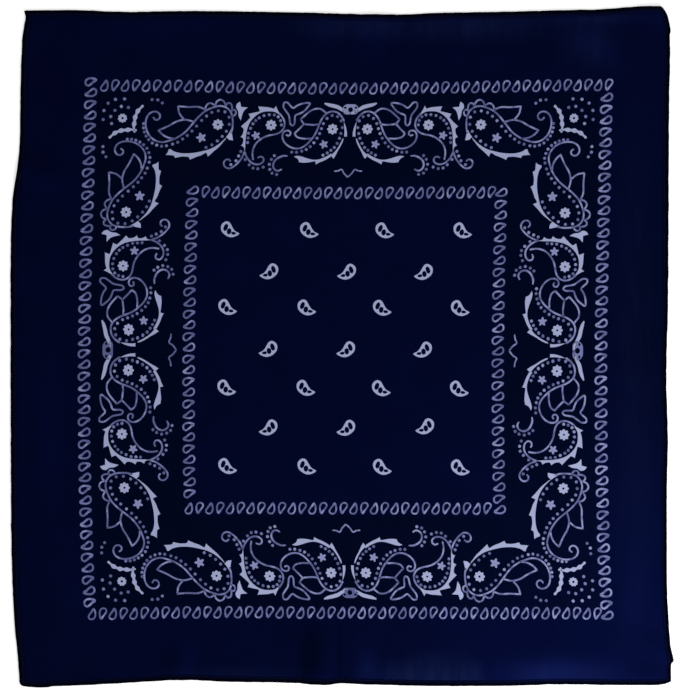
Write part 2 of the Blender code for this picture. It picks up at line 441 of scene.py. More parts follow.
def navy_colour(tree, places, x, y):
    """The dyed navy: deep and mottled, with painted light brighter to the lower right, painted
    highlight on folds and gathers, and painted shade in creases.
    """
    to_right = calculate(tree, "MULTIPLY", x, 1 / HALF_WIDTH)
    to_foot = calculate(tree, "MULTIPLY", y, -1 / HALF_LENGTH)
    right_half = calculate(tree, "MAXIMUM", to_right, 0.0)
    lower_half = calculate(tree, "MAXIMUM", to_foot, 0.0)
    # Painted light towards the lower right, the navy's own mottling and streaks, and painted
    # highlight and shade from the folds, with how much of each.
    mottling_and_painted_light = (
        (to_right, 0.03),
        (to_foot, 0.01),
        (calculate(tree, "MULTIPLY", right_half, lower_half), 0.32),
        (add_noise(tree, places, scale=26.0, detail=5.0), 0.22),
        (add_noise(tree, places, scale=60.0, detail=3.0, stretch=STREAKS_ACROSS), 0.07),
        (add_noise(tree, places, scale=60.0, detail=3.0, stretch=STREAKS_ALONG), 0.07),
        (read_attribute(tree, "painted_light"), 0.28),
    )
    total = 0.0
    for value, weight in mottling_and_painted_light:
        total = calculate(tree, "ADD", total, calculate(tree, "MULTIPLY", value, weight))
    total = calculate(tree, "SUBTRACT", total, BRIGHTENING_OFFSET, clamp=True)
    navy_and_painted_light = mix_colours(tree, total, NAVY_DEEP, NAVY_BRIGHT)
    # painted highlight on gathers by the hems, uneven along them
    gathers = add_noise(tree, places, scale=60.0, detail=3.0, stretch=GATHERED)
    uneven = calculate(tree, "MULTIPLY", gathers, GATHER_CONTRAST)
    pale = calculate(tree, "MULTIPLY", read_attribute(tree, "pale"), uneven)
    navy_and_painted_light = mix_colours(tree, pale, navy_and_painted_light, NAVY_GATHER_HIGHLIGHT)
    printed = calculate(tree, "MULTIPLY", read_attribute(tree, "printed"), PRINTED_SHARE)
    return mix_colours(tree, printed, navy_and_painted_light, NAVY_PRINTED)


def make_navy_cotton(name, shaded_hem=False):
    """Navy cotton; for a hem, painted shade darkens it towards the hem's outer edge and its ends.
    """
    material, tree, shader = start_material(name)
    places, x, y = object_places(tree)
    colour = navy_colour(tree, places, x, y)
    if shaded_hem:
        # painted shade towards the hem's outer edge and ends
        colour = mix_colours(tree, read_attribute(tree, "edge_shade"), colour, NAVY_EDGE_SHADE)
    tree.links.new(colour, shader.inputs["Base Color"])
    fuzz = add_noise(tree, places, scale=2600.0, detail=2.0)
    fuzz = calculate(tree, "MULTIPLY", fuzz, FUZZ_SHARE)
    height = calculate(tree, "ADD", weave_height(tree, x, y), fuzz)
    add_bump(tree, shader, height, strength=0.30, distance=WEAVE_DEPTH)
    soften(shader, roughness=0.92, specular=0.01, sheen=0.05, sheen_tint=COTTON_SHEEN)
    return material


def make_print(name, colour):
    """White print: matt ink that takes the weave's form."""
    material, tree, shader = start_material(name)
    places, x, y = object_places(tree)
    shader.inputs["Base Color"].default_value = colour
    patches = add_noise(tree, places, scale=420.0, detail=3.0)
    rough = calculate(tree, "MULTIPLY_ADD", patches, INK_ROUGHER, INK_ROUGHNESS)
    tree.links.new(rough, shader.inputs["Roughness"])
    add_bump(tree, shader, weave_height(tree, x, y), strength=0.35, distance=WEAVE_DEPTH)
    shader.inputs["Specular IOR Level"].default_value = 0.15
    shader.inputs["Sheen Weight"].default_value = 0.05
    return material


def make_thread(name):
    """Navy sewing thread, slightly glossier than the cloth, with a twist."""
    material, tree, shader = start_material(name)
    places, x, y = object_places(tree)
    twist = add_noise(tree, places, scale=900.0, detail=2.0)
    shade = mix_colours(tree, twist, THREAD_NAVY, NAVY_DEEP)
    tree.links.new(shade, shader.inputs["Base Color"])
    slant = calculate(tree, "MULTIPLY", calculate(tree, "ADD", x, y), PLY_TWIST)
    plies = calculate(tree, "SINE", slant)
    add_bump(tree, shader, plies, strength=0.4, distance=0.04 * MM)
    soften(shader, roughness=0.55, specular=0.10, sheen=0.05, sheen_tint=THREAD_SHEEN)
    return material


def make_floor_material(name):
    """A plain white surface with a trace of tone."""
    material, tree, shader = start_material(name)
    places = object_places(tree)[0]
    tone = add_noise(tree, places, scale=3.0, detail=2.0)
    light = mix_colours(tree, tone, FLOOR_WHITE, FLOOR_LIGHT)
    tree.links.new(light, shader.inputs["Base Color"])
    tree.links.new(light, shader.inputs["Emission Color"])
    shader.inputs["Emission Strength"].default_value = FLOOR_GLOW
    shader.inputs["Roughness"].default_value = 0.9
    shader.inputs["Specular IOR Level"].default_value = 0.1
    return material


# ---------------------------------------------------------------------------
# Cloth and hems.
# ---------------------------------------------------------------------------

FOLD_HIGHLIGHT_RISE = 2.4 * MM  # a fold this high gets the most painted highlight
DEEPEST_SHADE = -0.6  # painted shade in the deepest troughs
HEM_HIGHLIGHT_BAND = 15.0 * MM  # how far in from the upper and lower hems the painted highlight reaches
# painted highlight beside the upper and lower hems, stronger towards the right
HEM_HIGHLIGHT = 0.5

# A turned hem's section. Columns: in from the outer edge (mm), up from the cloth's own
# underside (mm), and how much painted shade darkens it, most at the outer edge.
HEM_RING = (
    (5.20, 0.40, 0.08), (4.75, 0.47, 0.18), (4.35, 0.62, 0.34), (3.95, 0.76, 0.40),
    (3.55, 0.72, 0.58), (3.10, 0.86, 0.56), (2.50, 0.97, 0.74), (1.95, 1.00, 0.88),
    (1.40, 0.98, 0.96), (0.85, 0.90, 1.00), (0.42, 0.74, 1.00), (0.14, 0.50, 1.00),
    (0.00, 0.26, 1.00), (0.10, 0.06, 1.00), (0.40, -0.06, 1.00), (1.20, -0.10, 0.60),
    (2.60, -0.08, 0.10), (3.55, -0.04, 0.10), (4.15, -0.08, 0.10), (4.50, -0.02, 0.30),
    (4.60, 0.06, 0.30), (4.70, 0.20, 0.00),
)
HEM_STEP = 1.5 * MM
HEM_END = 2.0 * MM  # how far from its ends a hem is rounded down
HEM_END_DROP = 0.75

# How a hem's outer edge wanders. Columns: outwards (mm), wave length (mm), seed's step.
HEM_WOBBLE = ((0.34, 11.0, 0), (0.16, 3.4, 5))
# How the stitches pucker it: an even wave that comes and goes, and uneven lumps.
PUCKER_HEIGHT = 0.13  # mm
PUCKER_WAVE = 2.1 * MM  # for each radian
PUCKER_SHIFT = 2.0
PUCKER_SHIFT_WAVE = 9 * MM
LUMP_HEIGHT = 0.16  # mm
LUMP_WAVE = 6 * MM
LUMP_SEED_STEP = 9
PUCKERED_FROM = 0.3 * MM  # only the hem's upper side is puckered

# A stitch's path. Columns: share along it, up from the cloth at the stitch line (mm),
# thickness as a share of the thread's.
STITCH_PATH = (
    (0.00, -0.10, 0.6), (0.10, 0.06, 1.0), (0.32, 0.15, 1.0), (0.68, 0.15, 1.0),
    (0.90, 0.06, 1.0), (1.00, -0.10, 0.6),
)
STITCH_INSET = 3.55 * MM
STITCH_PITCH = 3.1 * MM
STITCH_LENGTH = 2.45 * MM
STITCH_MARGIN = 1.2 * MM  # from a hem's end to its first stitch
UPPER_THREAD = 0.72  # height of its ends over the cloth's underside (mm)
LOWER_THREAD = 0.02
LOOK_AHEAD = 0.1 * MM
THREAD_RADIUS = 0.15 * MM
THREAD_SIDES = 6


def finish_object(name, shape, *materials):
    """Turns a bmesh into a named, smooth-shaded object."""
    mesh = bpy.data.meshes.new(name)
    shape.to_mesh(mesh)
    shape.free()
    for material in materials:
        mesh.materials.append(material)
    mesh.shade_smooth()
    made = bpy.data.objects.new(name, mesh)
    bpy.context.scene.collection.objects.link(made)
    return made


def write_attribute(piece, name, values):
    """Stores one number at each vertex for the materials to read."""
    attribute = piece.data.attributes.new(name, "FLOAT", "POINT")
    attribute.data.foreach_set("value", values)


def join_rings(shape, rings):
    """A closed skin round a row of rings, with both ends filled."""
    for ring, next_ring in zip(rings, rings[1:]):
        for corner in range(len(ring)):
            beside = (corner + 1) % len(ring)
            shape.faces.new((ring[corner], ring[beside], next_ring[beside], next_ring[corner]))
    shape.faces.new(rings[0])
    shape.faces.new(rings[-1])


def grid_lines(low, high, fine_middle=None):
    """Mesh lines from low to high: even cells, and fine ones round one place."""
    lines = []
    if fine_middle is None:
        stretches = [(low, high, CLOTH_CELL)]
    else:
        near, far = fine_middle - FINE_REACH, fine_middle + FINE_REACH
        stretches = [(low, near, CLOTH_CELL), (near, far, FINE_CELL), (far, high, CLOTH_CELL)]
    for start, end, cell in stretches:
        cells = round((end - start) / cell)
        lines += [start + (end - start) * step / cells for step in range(cells)]
    return [*lines, high]


def painted_light_at(x, y):
    """How much painted light the navy gets: painted highlight most on folds and by the upper and
    lower hems, painted shade in creases.
    """
    lifted = relief(FOLDS, x, y) + relief(CREASES, x, y)
    beside_hem = swell((HALF_LENGTH - abs(y) - HEM_WIDTH) / HEM_HIGHLIGHT_BAND)
    to_right = 0.5 + 0.5 * x / HALF_WIDTH
    by_folds = min(max(lifted / FOLD_HIGHLIGHT_RISE, DEEPEST_SHADE), 1.0)
    by_folds += HEM_HIGHLIGHT * beside_hem * to_right
    return by_folds + relief(HIGHLIGHT_AND_SHADE_PATCHES, x, y) / MM


def gather_highlight_at(x, y):
    """How much painted highlight the gathers by the hems give the cloth."""
    return relief(GATHER_HIGHLIGHTS, x, y) / MM


def border_share(x, y):
    """1 between the two frames of drops, falling softly to 0 at both."""
    across = abs(x - PRINT_MIDDLE_X - read_table(PRINT_BOW, y)) / CHART_SQUARE
    up = abs(y - PRINT_MIDDLE_Y) / CHART_SQUARE
    inward = min(FRAME_HALF_WIDTH - across, FRAME_HALF_LENGTH - up)
    beyond = abs(inward - BORDER_MIDDLE) - BORDER_HALF
    return min(max(1.0 - beyond / BORDER_FADE, 0.0), 1.0)


def make_cloth(material):
    """The panel as one closed thin shell, its edges hidden in the hems."""
    lines_x = grid_lines(CLOTH_INSET - HALF_WIDTH, HALF_WIDTH - CLOTH_INSET, fine_middle=0.0)
    lines_y = grid_lines(CLOTH_INSET - HALF_LENGTH, HALF_LENGTH - CLOTH_INSET)
    rows, columns = len(lines_y), len(lines_x)
    spots = [lie(x, y) for y in lines_y for x in lines_x]
    bottoms = [(*spot, underside(*spot)) for spot in spots]
    shape = bmesh.new()
    upper = [shape.verts.new((x, y, z + CLOTH_THICKNESS)) for x, y, z in bottoms]
    lower = [shape.verts.new(bottom) for bottom in bottoms]
    for row in range(rows - 1):
        for column in range(columns - 1):
            first = row * columns + column
            square = (first, first + 1, first + columns + 1, first + columns)
            shape.faces.new([upper[corner] for corner in square])
            shape.faces.new([lower[corner] for corner in reversed(square)])
    rim = list(range(columns))
    rim += [row * columns + columns - 1 for row in range(1, rows)]
    rim += [(rows - 1) * columns + column for column in range(columns - 2, -1, -1)]
    rim += [row * columns for row in range(rows - 2, 0, -1)]
    for here, ahead in zip(rim, rim[1:] + rim[:1]):
        shape.faces.new((lower[here], lower[ahead], upper[ahead], upper[here]))
    cloth = finish_object("cloth", shape, material)
    # painted highlight and shade from folds, painted highlight on gathers, and the printed
    # border's ground
    looks = (("painted_light", painted_light_at), ("pale", gather_highlight_at), ("printed", border_share))
    for name, value_at in looks:
        write_attribute(cloth, name, [value_at(*spot) for spot in spots] * 2)
    return cloth


@dataclass
class Hem:
    """One side's turned hem: finds points of its section anywhere along it."""

    name: str
    across: bool  # whether it runs along X
    side: int  # 1 at the top or right, -1 at the bottom or left
    edge_at: float  # how far its outer edge is from the cloth's middle
    reach: float  # from the hem's middle to its ends
    seed: float

    def noise_at(self, place, wave_length, seed_step=0):
        """Smooth noise from -1 to 1 along the hem."""
        return noise.noise(Vector((place / wave_length, self.seed + seed_step, 0.0)))

    def end_share(self, place):
        """How near the hem's end a place is: 1 at the very end, 0 from HEM_END in."""
        return max(0.0, 1.0 - (self.reach - abs(place)) / HEM_END)

    def pucker_at(self, place):
        """How far the stitches lift or sink the hem's upper side, in millimetres."""
        wave = place / PUCKER_WAVE + PUCKER_SHIFT * self.noise_at(place, PUCKER_SHIFT_WAVE)
        lumps = self.noise_at(place, LUMP_WAVE, LUMP_SEED_STEP)
        return PUCKER_HEIGHT * math.sin(wave) + LUMP_HEIGHT * lumps

    def point(self, place, inset, up):
        """A point of the hem, from its place along the side, in from the edge and up."""
        inward = min(inset / HEM_WIDTH, 1.0)
        wobble = sum(
            out * self.noise_at(place, wave_length * MM, seed_step)
            for out, wave_length, seed_step in HEM_WOBBLE
        )
        from_middle = self.edge_at - inset + wobble * MM * (1.0 - inward)
        if self.across:
            x, y = lie(place, self.side * from_middle)
        else:
            x, y = lie(self.side * from_middle, place)
        height = up * (1.0 - HEM_END_DROP * self.end_share(place) ** 2)
        if up > PUCKERED_FROM:
            height += self.pucker_at(place) * MM * math.sin(math.pi * inward)
        return Vector((x, y, max(underside(x, y) + height, 0.0)))


def make_hem(hem, material):
    """The hem as one closed mesh, from its section carried along the side."""
    shape = bmesh.new()
    steps = round(2 * hem.reach / HEM_STEP)
    rings, edge_shade, painted_light = [], [], []
    for step in range(steps + 1):
        place = -hem.reach + 2 * hem.reach * step / steps
        ring = []
        for inset, up, dark in HEM_RING:
            point = hem.point(place, inset * MM, up * MM)
            ring.append(shape.verts.new(point))
            # painted shade: darkest at the hem's outer edge and lowered ends
            edge_shade.append(max(dark, hem.end_share(place) if up > 0 else dark))
            # painted highlight and shade from the folds, as on the cloth
            painted_light.append(painted_light_at(point.x, point.y))
        rings.append(ring)
    join_rings(shape, rings)
    bmesh.ops.recalc_face_normals(shape, faces=shape.faces)
    piece = finish_object("edge_" + hem.name, shape, material)
    write_attribute(piece, "edge_shade", edge_shade)
    write_attribute(piece, "painted_light", painted_light)
    return piece


def add_stitch(shape, hem, start, above):
    """One stitch's thread over the hem, or under it."""
    rings = []
    height = (UPPER_THREAD if above else LOWER_THREAD) * MM
    for share, up, thickness in STITCH_PATH:
        place = start + share * STITCH_LENGTH
        lifted = height + (up if above else -up) * MM
        middle = hem.point(place, STITCH_INSET, lifted)
        beyond = hem.point(place + LOOK_AHEAD, STITCH_INSET, lifted)
        ahead = (beyond - middle).normalized()
        beside = ahead.cross(Vector((0, 0, 1))).normalized()
        over = beside.cross(ahead)
        reach = THREAD_RADIUS * thickness
        ring = []
        for corner in range(THREAD_SIDES):
            turn = math.tau * corner / THREAD_SIDES
            spot = middle + beside * math.cos(turn) * reach + over * math.sin(turn) * reach
            ring.append(shape.verts.new((spot.x, spot.y, max(spot.z, 0.0))))
        rings.append(ring)
    join_rings(shape, rings)


def make_stitching(hems, material):
    """Every machine stitch of the four hems, as one joined mesh."""
    shape = bmesh.new()
    for hem in hems:
        first = -hem.reach + STITCH_MARGIN
        count = int((2 * hem.reach - 2 * STITCH_MARGIN) / STITCH_PITCH)
        for stitch in range(count):
            start = first + stitch * STITCH_PITCH
            add_stitch(shape, hem, start, above=True)
            add_stitch(shape, hem, start + STITCH_PITCH / 2, above=False)
    bmesh.ops.recalc_face_normals(shape, faces=shape.faces)
    return finish_object("stitching", shape, material)


# ---------------------------------------------------------------------------
# The print's chart, in squares.
# ---------------------------------------------------------------------------

CHART_SQUARE = 0.84 * MM
PRINT_MIDDLE_X = 6.1 * MM
PRINT_MIDDLE_Y = -2.74 * MM
FRAME_HALF_WIDTH = 257.8  # squares, to the outer rows' middle line
FRAME_HALF_LENGTH = 264.0
BORDER_MIDDLE = 52.2  # in from the outer rows' middle line
BORDER_HALF = 44.5
BORDER_FADE = 4.5
PALE, FINE, FULL, SOFT, SOLID = range(5)  # rows of PRINT_TINTS
INK_PATCH = 5.0 * MM  # fine lines come out paler or fuller in patches this wide
INK_SEED = 7.7
PALER_BELOW = -0.16
FULLER_ABOVE = 0.20
PAINTED_LIGHT_LEAN = 0.16  # painted light: fine lines brighter towards the right
THIN_LEAN = -0.14  # beads and drops are paler
LINE = 1.68
THIN_LINE = 1.4
THINNEST = 0.1  # the width at a line's very tip
CAP_STEPS = (0.55, 0.86, 1.0)  # of a rounded line end, as shares of its half width
DOT = 1.5
DOT_SIDES = 10
STEPS_A_PETAL = 6
SLIM = 0.6  # how far a solid shape's ink stays inside its drawn outline
CURVE_STEP = 1.3
TINY = 1e-6
SHARP_TURN = math.radians(52.0)  # an outline's sharper corners stay sharp

# How far the printed square bows sideways. Columns: place up or down from the print's
# middle (mm), to the right (mm).
PRINT_BOW = (
    (-223.0, 0.5), (-213.0, 0.0), (-184.6, -1.9), (-156.0, -2.9), (-127.5, -3.9), (-70.4, -5.0),
    (-13.3, -5.2), (15.3, -5.0), (72.4, -4.0), (101.0, -3.2), (129.5, -2.4), (158.0, -1.5),
    (186.6, -0.7), (215.0, 0.1), (223.0, 0.3),
)

# How far the printed square's upper side sags. Columns: place across (mm), up (mm).
PRINT_SAG = (
    (-220.0, 0.1), (-137.0, -0.4), (-107.0, -1.1), (-78.0, -1.8), (-15.0, -2.4), (15.0, -2.4),
    (69.0, -1.8), (128.0, -0.8), (187.0, 0.3), (220.0, 0.5),
)

# How far the printed square's lower side rises. Columns: place across (mm), up (mm).
PRINT_RISE = (
    (-222.0, -0.8), (-194.0, -0.6), (-156.0, 0.2), (-118.0, 0.5), (-81.0, 0.7), (-43.0, 0.3),
    (71.0, 0.1), (108.0, -0.3), (184.0, -0.1), (222.0, -0.9),
)
SAG_FADE = 1.5  # how fast both fade towards the print's middle

# How far the weave is drawn sideways by the upper and lower borders. Columns: place
# across (mm), to the right (mm).
PRINT_DRIFT = (
    (-222.0, 0.0), (-194.0, 0.1), (-156.0, 0.75), (-118.0, 1.3), (-81.0, 1.5), (-43.0, 1.6),
    (-5.0, 1.35), (33.0, 0.85), (71.0, 0.5), (108.0, 0.15), (146.0, -0.3), (184.0, -0.5),
    (222.0, -0.4),
)
DRIFT_FROM = 139.0 * MM
DRIFT_WHOLE = 162.0 * MM

# The border's four sides. Columns: name, quarter turns, how far the pattern's middle is
# moved along the side (squares), and whether the side is one of the longer two.
BORDER_SIDES = (
    ("top", 0, 0.4, False),
    ("left", 1, 0.1, True),
    ("bottom", 2, -0.2, False),
    ("right", 3, 0.8, True),
)
FADED_TULIP = ("left", 1)  # its side and half

# Where each corner's chart starts. Columns: side of X, side of Y, out from the print's
# middle across and up or down (squares).
CORNER_PLACES = (
    (-1, 1, 258.6, 264.5),
    (1, 1, 258.9, 264.2),
    (-1, -1, 258.3, 263.5),
    (1, -1, 259.3, 264.4),
)

# On the longer sides the pattern is drawn out. Columns: place along on the chart, place
# along on the cloth (squares), and how much deeper in (squares).
LONG_SIDE = (
    (0.0, 0.0, 1.8), (17.5, 20.4, 2.6), (40.0, 43.6, 1.2), (79.5, 84.2, -0.5),
    (132.0, 137.5, 0.7), (170.0, 175.4, 0.0), (204.0, 209.2, -0.4), (260.0, 266.0, 0.0),
)

# The line round one drop, from its tip. Columns: ahead, beside, and its width as a share
# of the row's.
DROP = (
    (4.8, -1.7, 1.6), (2.6, -2.7, 1.1), (-0.2, -3.05, 1.0), (-3.0, -2.5, 1.0), (-5.0, -1.0, 1.0),
    (-5.5, 1.0, 1.0), (-4.8, 3.0, 1.0), (-2.8, 3.9, 1.0), (-0.2, 2.5, 1.0), (2.4, 0.4, 1.1),
)

# The drop's form in rows that run across and in those that run up and down. Columns: heading
# (degrees from +X) and breadth as a share of the chart's, negative for a mirrored drop.
ROW_DROP = (90.0, 1.0)
COLUMN_DROP = (0.0, -1.08)

# The top, bottom, left and right rows of drops, round the outer frame and then the inner.
# Columns: drops, first and last place across and up from the print's middle (squares), how
# far the middle drops are drawn along the row (squares), the drop's form, its line's width,
# and whether the first drop is turned round.
DROP_ROWS = (
    (50, (-244.5, 264.4), (260.0, 264.4), 0.2, ROW_DROP, 1.6, False),
    (50, (-257.0, -262.9), (248.5, -262.9), 0.0, ROW_DROP, 1.6, False),
    (47, (-258.2, 268.3), (-258.9, -251.4), 0.5, COLUMN_DROP, 1.95, False),
    (47, (258.2, 251.8), (258.2, -264.7), 0.9, COLUMN_DROP, 1.95, True),
    (29, (-140.6, 158.3), (145.3, 158.2), 0.0, ROW_DROP, 1.6, True),
    (30, (-155.3, -158.4), (142.8, -158.4), 0.2, ROW_DROP, 1.55, False),
    (28, (-153.6, 159.7), (-154.3, -143.6), 0.0, COLUMN_DROP, 1.75, True),
    (29, (155.0, 157.6), (155.2, -159.9), 0.2, COLUMN_DROP, 1.7, True),
)

# The small paisleys of the field, in rows that take turns. Columns of the rows: place up,
# and how far the row is moved to the right (squares).
FIELD_ROWS = ((120.5, 0.7), (42.4, 0.0), (-38.2, -0.4), (-116.9, -0.1))
FIELD_COLUMNS = (-116.1, -36.9, 38.5, 116.5)
BETWEEN_ROWS = ((78.6, -0.2), (0.6, 0.1), (-78.0, 0.1))
BETWEEN_COLUMNS = (-74.3, 3.4, 80.2)
FIELD_TILT = -0.0045
FIELD_SLIM = 0.8
HOLE_SPREAD = 0.95  # how much wider the small paisleys' holes are printed
STRAY = (80.2, -78.0)  # one paisley out of line
STRAY_OFFSET = (2.1, 1.9)

# The field's small paisley, its head up and to the left, and the holes left in it.
# Columns: across and up from its middle.
SMALL_PAISLEY = (
    (-3.0, 9.0), (0.0, 7.9), (2.4, 4.5), (4.2, 1.2), (6.3, -1.2), (9.2, -2.6), (10.7, -4.0),
    (9.3, -5.9), (6.0, -7.7), (2.4, -8.6), (-1.6, -8.0), (-5.4, -5.8), (-8.4, -2.6), (-9.6, 1.6),
    (-8.9, 5.2), (-6.4, 7.8),
)
SMALL_PAISLEY_HOLES = (
    (
        (-3.1, 4.8), (-2.5, 3.9), (-2.9, 1.6), (-3.7, 0.0), (-4.8, -0.7), (-5.5, 0.4),
        (-5.1, 2.3), (-4.2, 4.0),
    ),
    ((0.1, 0.2), (0.9, -1.2), (0.5, -3.2), (-0.6, -4.2), (-1.7, -3.3), (-1.8, -1.4), (-0.8, 0.1)),
    ((2.5, -3.4), (4.2, -3.3), (5.8, -4.0), (4.3, -4.3), (2.8, -4.1)),
)

# One half of one side. Columns of every line and outline: place along from the side's
# middle, place in from the outer row, and a line's width where it isn't LINE.
OUTER_PAISLEY_BACK = (
    (195.8, 31.6), (194.2, 33.6), (191.6, 33.6), (189.6, 31.2), (189.9, 28.2), (192.3, 26.0),
    (195.8, 25.5), (199.6, 27.2), (202.4, 31.2), (203.4, 36.0), (202.6, 43.0), (199.0, 50.0),
    (193.6, 54.4), (187.0, 56.0), (179.6, 54.4), (170.6, 50.4), (163.6, 45.0), (157.6, 37.8),
    (151.6, 30.4), (144.8, 24.2), (137.4, 20.6), (130.4, 18.9), (124.8, 20.2), (120.0, 24.4),
    (118.0, 30.0), (117.5, 36.0), (117.9, 42.0), (118.9, 45.6),
)
OUTER_PAISLEY_LEAVES = (
    ((144.8, 23.0), (150.8, 20.6), (161.6, 20.6), (172.2, 20.0)),
    ((172.2, 20.0), (170.6, 27.0), (166.0, 33.0)),
    ((155.6, 35.4), (165.6, 33.4), (172.4, 35.0), (181.0, 39.8), (190.6, 44.2)),
    ((190.6, 44.2), (186.6, 48.4), (181.6, 51.2), (174.0, 52.6)),
)
OUTER_PAISLEY_SCALLOPS = (
    ((145.6, 22.6), (143.4, 17.8), (140.8, 16.2), (138.0, 17.0), (135.4, 18.9)),
    ((135.4, 18.6), (134.0, 14.6), (130.6, 12.6), (127.0, 14.2), (125.0, 18.4)),
    ((125.0, 18.4), (123.2, 16.0), (120.4, 16.0), (118.8, 18.8), (118.6, 23.2)),
    ((119.0, 23.0), (116.2, 22.4), (114.6, 24.6), (115.4, 27.6), (118.2, 29.0)),
)
OUTER_PAISLEY_WEDGE = (
    (118.7, 42.0), (117.9, 47.0), (116.7, 53.2), (120.4, 52.8), (123.6, 50.0), (121.0, 46.2),
)
OUTER_CRESCENT = (
    (180.4, 62.6), (178.4, 62.4), (175.4, 64.3), (170.0, 66.0), (163.0, 66.5), (156.0, 66.0),
    (148.0, 64.4), (139.4, 61.8), (132.4, 57.8), (127.0, 53.1), (123.8, 49.6), (123.4, 50.6),
    (126.5, 56.0), (130.3, 60.6), (135.4, 65.2), (141.4, 71.0), (143.3, 66.6), (147.5, 69.2),
    (153.0, 71.3), (158.9, 74.0), (160.7, 71.1), (166.6, 70.9), (173.8, 72.3), (175.4, 69.8),
    (183.8, 69.2), (181.4, 65.6),
)
SPRIG = (
    (110.9, 14.2), (109.6, 19.4), (103.0, 19.8), (107.0, 23.6), (108.4, 27.5), (109.6, 33.0),
    (111.8, 28.8), (112.6, 23.4), (114.6, 20.0), (113.8, 16.4),
)
MIDDLE_CROWN = (
    (74.9, 16.5), (77.0, 20.2), (81.0, 19.0), (87.0, 18.4), (93.4, 18.0), (91.4, 23.2),
    (96.0, 24.2), (102.7, 25.9), (100.8, 30.0), (104.3, 33.6), (109.9, 38.9), (107.0, 41.9),
    (107.6, 46.0), (110.0, 49.8), (107.0, 51.6), (107.3, 55.0), (109.2, 58.7), (106.4, 60.4),
    (105.7, 65.4), (104.3, 65.4), (103.9, 60.0), (103.7, 52.0), (103.1, 46.0), (102.0, 40.3),
    (100.0, 35.2), (96.5, 30.5), (92.0, 26.7), (87.0, 24.5), (81.0, 24.0), (76.5, 24.4),
    (72.8, 26.4), (70.0, 29.2), (68.5, 28.2), (71.0, 24.4), (73.0, 21.0),
)
MIDDLE_PAISLEY_LINES = (
    (
        (70.8, 26.0), (67.8, 29.8), (66.0, 34.4), (66.2, 39.0), (68.2, 42.7), (71.4, 45.2),
        (76.0, 46.8), (82.0, 48.0), (87.0, 50.2), (91.4, 53.4), (94.8, 57.6), (96.7, 62.6),
        (97.0, 67.4), (96.3, 72.0),
    ),
    (
        (105.0, 64.6), (102.8, 69.6), (99.8, 73.6), (95.8, 76.4), (91.8, 77.2), (88.0, 76.2),
        (85.6, 73.4), (86.3, 70.4), (89.0, 69.3), (91.2, 70.2),
    ),
    (
        (105.2, 64.6), (106.9, 69.6), (109.9, 74.4), (114.2, 79.0), (118.4, 81.5), (122.0, 81.0),
        (124.5, 78.6), (125.0, 75.4), (123.3, 73.0), (120.4, 72.6), (118.8, 74.0),
    ),
)
SCROLL = (
    (62.6, 68.4, 1.4), (66.0, 68.3, 1.8), (69.8, 69.6, 1.9), (72.8, 71.5, 1.9), (75.0, 74.3, 1.9),
    (75.8, 77.4, 1.8), (75.1, 80.4, 1.8), (73.0, 82.8, 1.8), (70.2, 83.5, 1.8), (67.2, 82.1, 1.6),
)
TULIP = (
    (66.6, 14.3), (63.9, 14.2), (60.7, 17.4), (57.9, 19.8), (54.0, 17.4), (49.8, 15.5),
    (41.0, 15.2), (43.3, 18.8), (47.0, 23.0), (51.4, 25.5), (55.3, 27.2), (55.8, 31.4),
    (55.9, 35.2), (57.7, 37.8), (59.9, 36.3), (60.9, 32.0), (61.9, 27.2), (65.0, 22.8),
    (67.5, 18.4),
)
INNER_PAISLEY_BACK = (
    (63.5, 47.2), (61.5, 47.9), (59.7, 46.2), (60.2, 43.7), (62.8, 42.6), (65.8, 43.6),
    (67.5, 46.4), (67.5, 50.4), (65.2, 55.0), (60.8, 58.7), (55.4, 60.7), (49.6, 60.4),
    (44.4, 57.5), (40.1, 53.2), (36.4, 48.4), (33.8, 43.6), (31.8, 38.2), (29.8, 32.8),
    (26.6, 27.6), (22.6, 24.2), (18.4, 23.0), (13.6, 24.0), (9.8, 27.0), (6.5, 32.0),
)
INNER_LENS = (
    (7.4, 30.4), (5.2, 34.6), (3.4, 39.6), (2.4, 45.0), (2.4, 49.0), (6.3, 49.0), (6.1, 44.0),
    (6.5, 39.0),
)
INNER_TOOTH = (
    (5.6, 50.0), (7.6, 50.2), (9.8, 55.0), (12.7, 60.2), (15.8, 64.2), (19.2, 66.9), (17.6, 70.0),
    (15.7, 71.8), (13.6, 68.4), (11.3, 63.6), (8.0, 57.6), (6.0, 52.6),
)
INNER_CRESCENT = (
    (17.6, 66.0), (17.8, 68.6), (21.0, 71.1), (25.0, 73.4), (29.4, 75.3), (33.4, 77.6),
    (34.3, 74.1), (40.0, 75.2), (46.0, 75.7), (50.4, 75.2), (51.8, 72.2), (57.2, 69.0),
    (53.0, 67.6), (48.0, 68.3), (42.0, 70.2), (36.0, 71.5), (31.0, 71.2), (26.0, 69.4),
    (21.6, 67.1), (18.8, 65.1),
)
INNER_PAISLEY_LEAVES = (
    ((50.0, 31.2), (45.2, 26.6), (40.5, 22.7), (35.6, 20.5), (30.4, 20.5), (25.0, 24.2)),
    ((50.0, 31.2), (46.4, 35.6), (41.0, 36.5), (36.0, 36.7), (31.2, 36.0)),
    ((46.2, 35.6), (50.8, 40.6), (55.8, 45.6)),
    ((55.8, 45.6), (53.4, 48.8), (47.6, 50.6), (39.0, 50.6)),
)
KNOT_LEAF = (
    (25.8, 15.0, 1.6), (22.4, 16.2, 3.1), (17.4, 17.4, 3.6), (12.6, 18.8, 3.7), (8.2, 21.5, 3.0),
    (3.8, 24.1, 2.5), (0.0, 25.0, 2.2),
)
KNOT_OUTLINE = (
    (-8.6, 21.8), (-7.2, 18.1), (-5.0, 16.2), (0.0, 15.8), (5.0, 16.2), (7.2, 18.1), (8.6, 21.8),
    (6.0, 25.3), (0.0, 26.0), (-6.0, 25.3),
)
